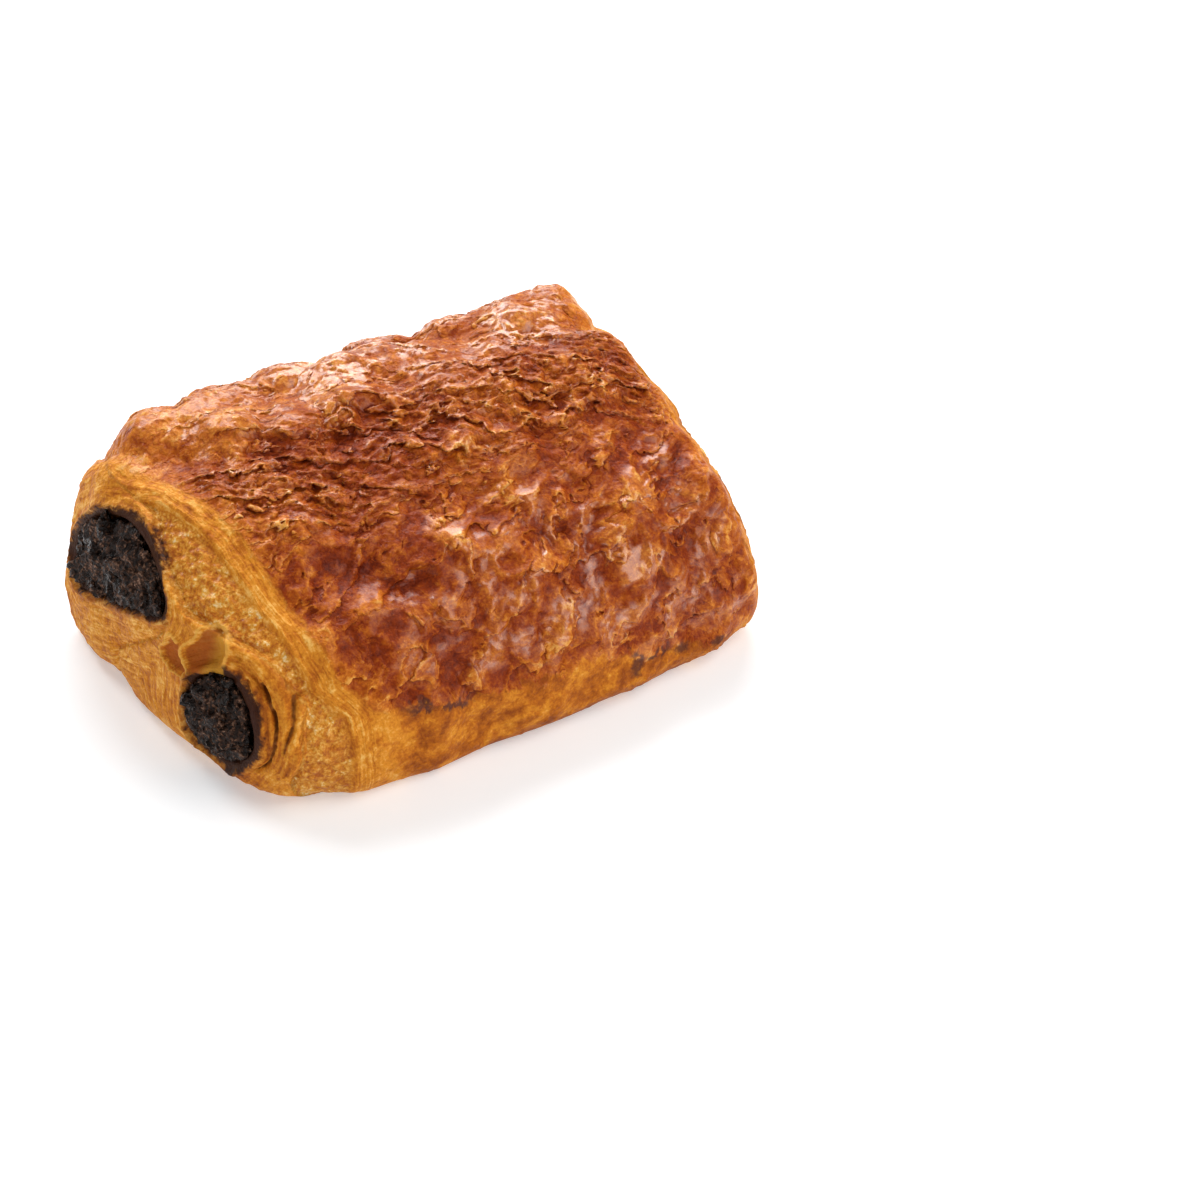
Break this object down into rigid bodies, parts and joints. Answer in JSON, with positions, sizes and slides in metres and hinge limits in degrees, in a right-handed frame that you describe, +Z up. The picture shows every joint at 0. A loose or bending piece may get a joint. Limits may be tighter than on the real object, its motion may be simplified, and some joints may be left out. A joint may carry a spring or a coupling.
{
  "type": "pain au chocolat",
  "caption": "Baked roll of laminated dough with a glossy, wrinkled, egg-washed top and dark chocolate showing in its coiled, cut ends.",
  "frame": {"origin": "on the surface that the roll rests on, under the middle of its bounding box", "axes": "+X along the roll from one cut end to the other, +Y towards the higher rear coil, +Z up"},
  "size_m": [0.11, 0.0804, 0.0455],
  "materials": {
    "crust": "baked laminated dough, glossy reddish brown where it was brushed with egg, satin golden yellow elsewhere",
    "chocolate": "rough broken dark chocolate with a soft sheen"
  },
  "bodies": {
    "root": {"baked_dough": "crust", "chocolate_bar_rear": "chocolate", "chocolate_bar_front": "chocolate"}
  },
  "joints": []
}
